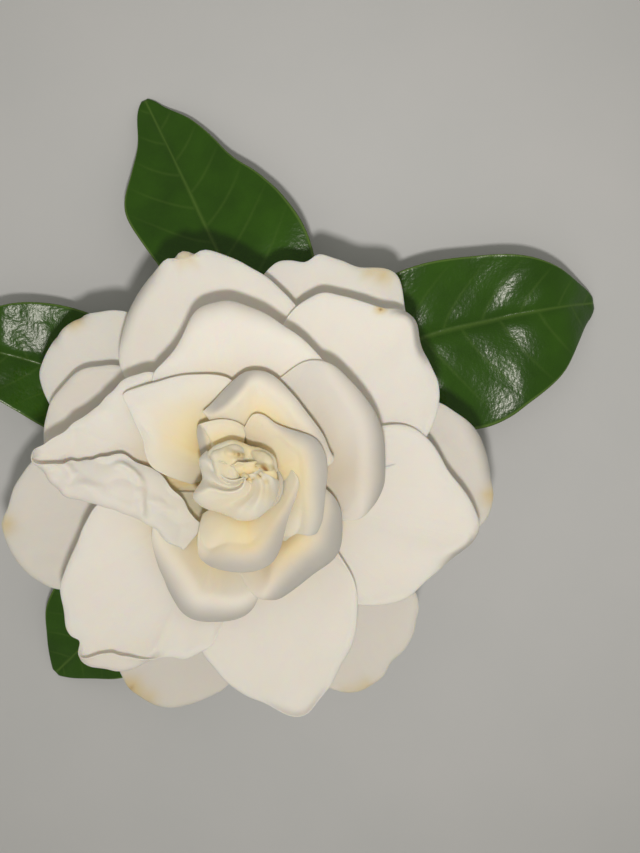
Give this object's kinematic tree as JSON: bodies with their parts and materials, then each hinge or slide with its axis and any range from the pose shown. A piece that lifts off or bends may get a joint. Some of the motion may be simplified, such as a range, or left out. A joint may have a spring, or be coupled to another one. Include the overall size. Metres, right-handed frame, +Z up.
{
  "type": "gardenia flower",
  "caption": "Double gardenia bloom cut with a short stem and its leaves, lying face up: layered creamy white petals round a crumpled heart.",
  "frame": {"origin": "middle of the flower's footprint, on the surface that it lies on", "axes": "+Z up along the bloom's axis, which it faces; +X to the viewer's right and +Y away from the cut stem's end when it is looked down on"},
  "size_m": [0.13, 0.1196, 0.0506],
  "materials": {
    "white_petal": "soft satin petal, creamy white",
    "cream_petal": "soft satin petal, cream towards its foot",
    "heart_petal": "soft satin petal, warm cream, crumpled",
    "leaf": "waxy dark green with sunken veins",
    "calyx": "ribbed fresh green",
    "stem": "green-brown young bark, pale cut end"
  },
  "bodies": {
    "root": {"calyx": "calyx", "corolla_tube": "cream_petal", "guard_petal_1": "white_petal", "guard_petal_2": "white_petal", "guard_petal_3": "white_petal", "guard_petal_4": "white_petal", "guard_petal_5": "white_petal", "guard_petal_6": "white_petal", "heart_petal_blade": "heart_petal", "heart_petal_hood": "heart_petal", "heart_petal_strip": "heart_petal", "inner_petal_1": "cream_petal", "inner_petal_2": "cream_petal", "inner_petal_3": "cream_petal", "inner_petal_4": "cream_petal", "leaf_left": "leaf", "leaf_lower_left": "leaf", "leaf_right": "leaf", "leaf_upper_left": "leaf", "middle_petal_1": "white_petal", "middle_petal_2": "white_petal", "middle_petal_3": "white_petal", "middle_petal_4": "white_petal", "middle_petal_5": "white_petal", "outer_petal_1": "white_petal", "outer_petal_2": "white_petal", "outer_petal_3": "white_petal", "outer_petal_4": "white_petal", "outer_petal_5": "white_petal", "outer_petal_6": "white_petal", "petaloid_1": "heart_petal", "petaloid_2": "heart_petal", "petaloid_3": "heart_petal", "petaloid_4": "heart_petal", "stem": "stem"}
  },
  "joints": []
}
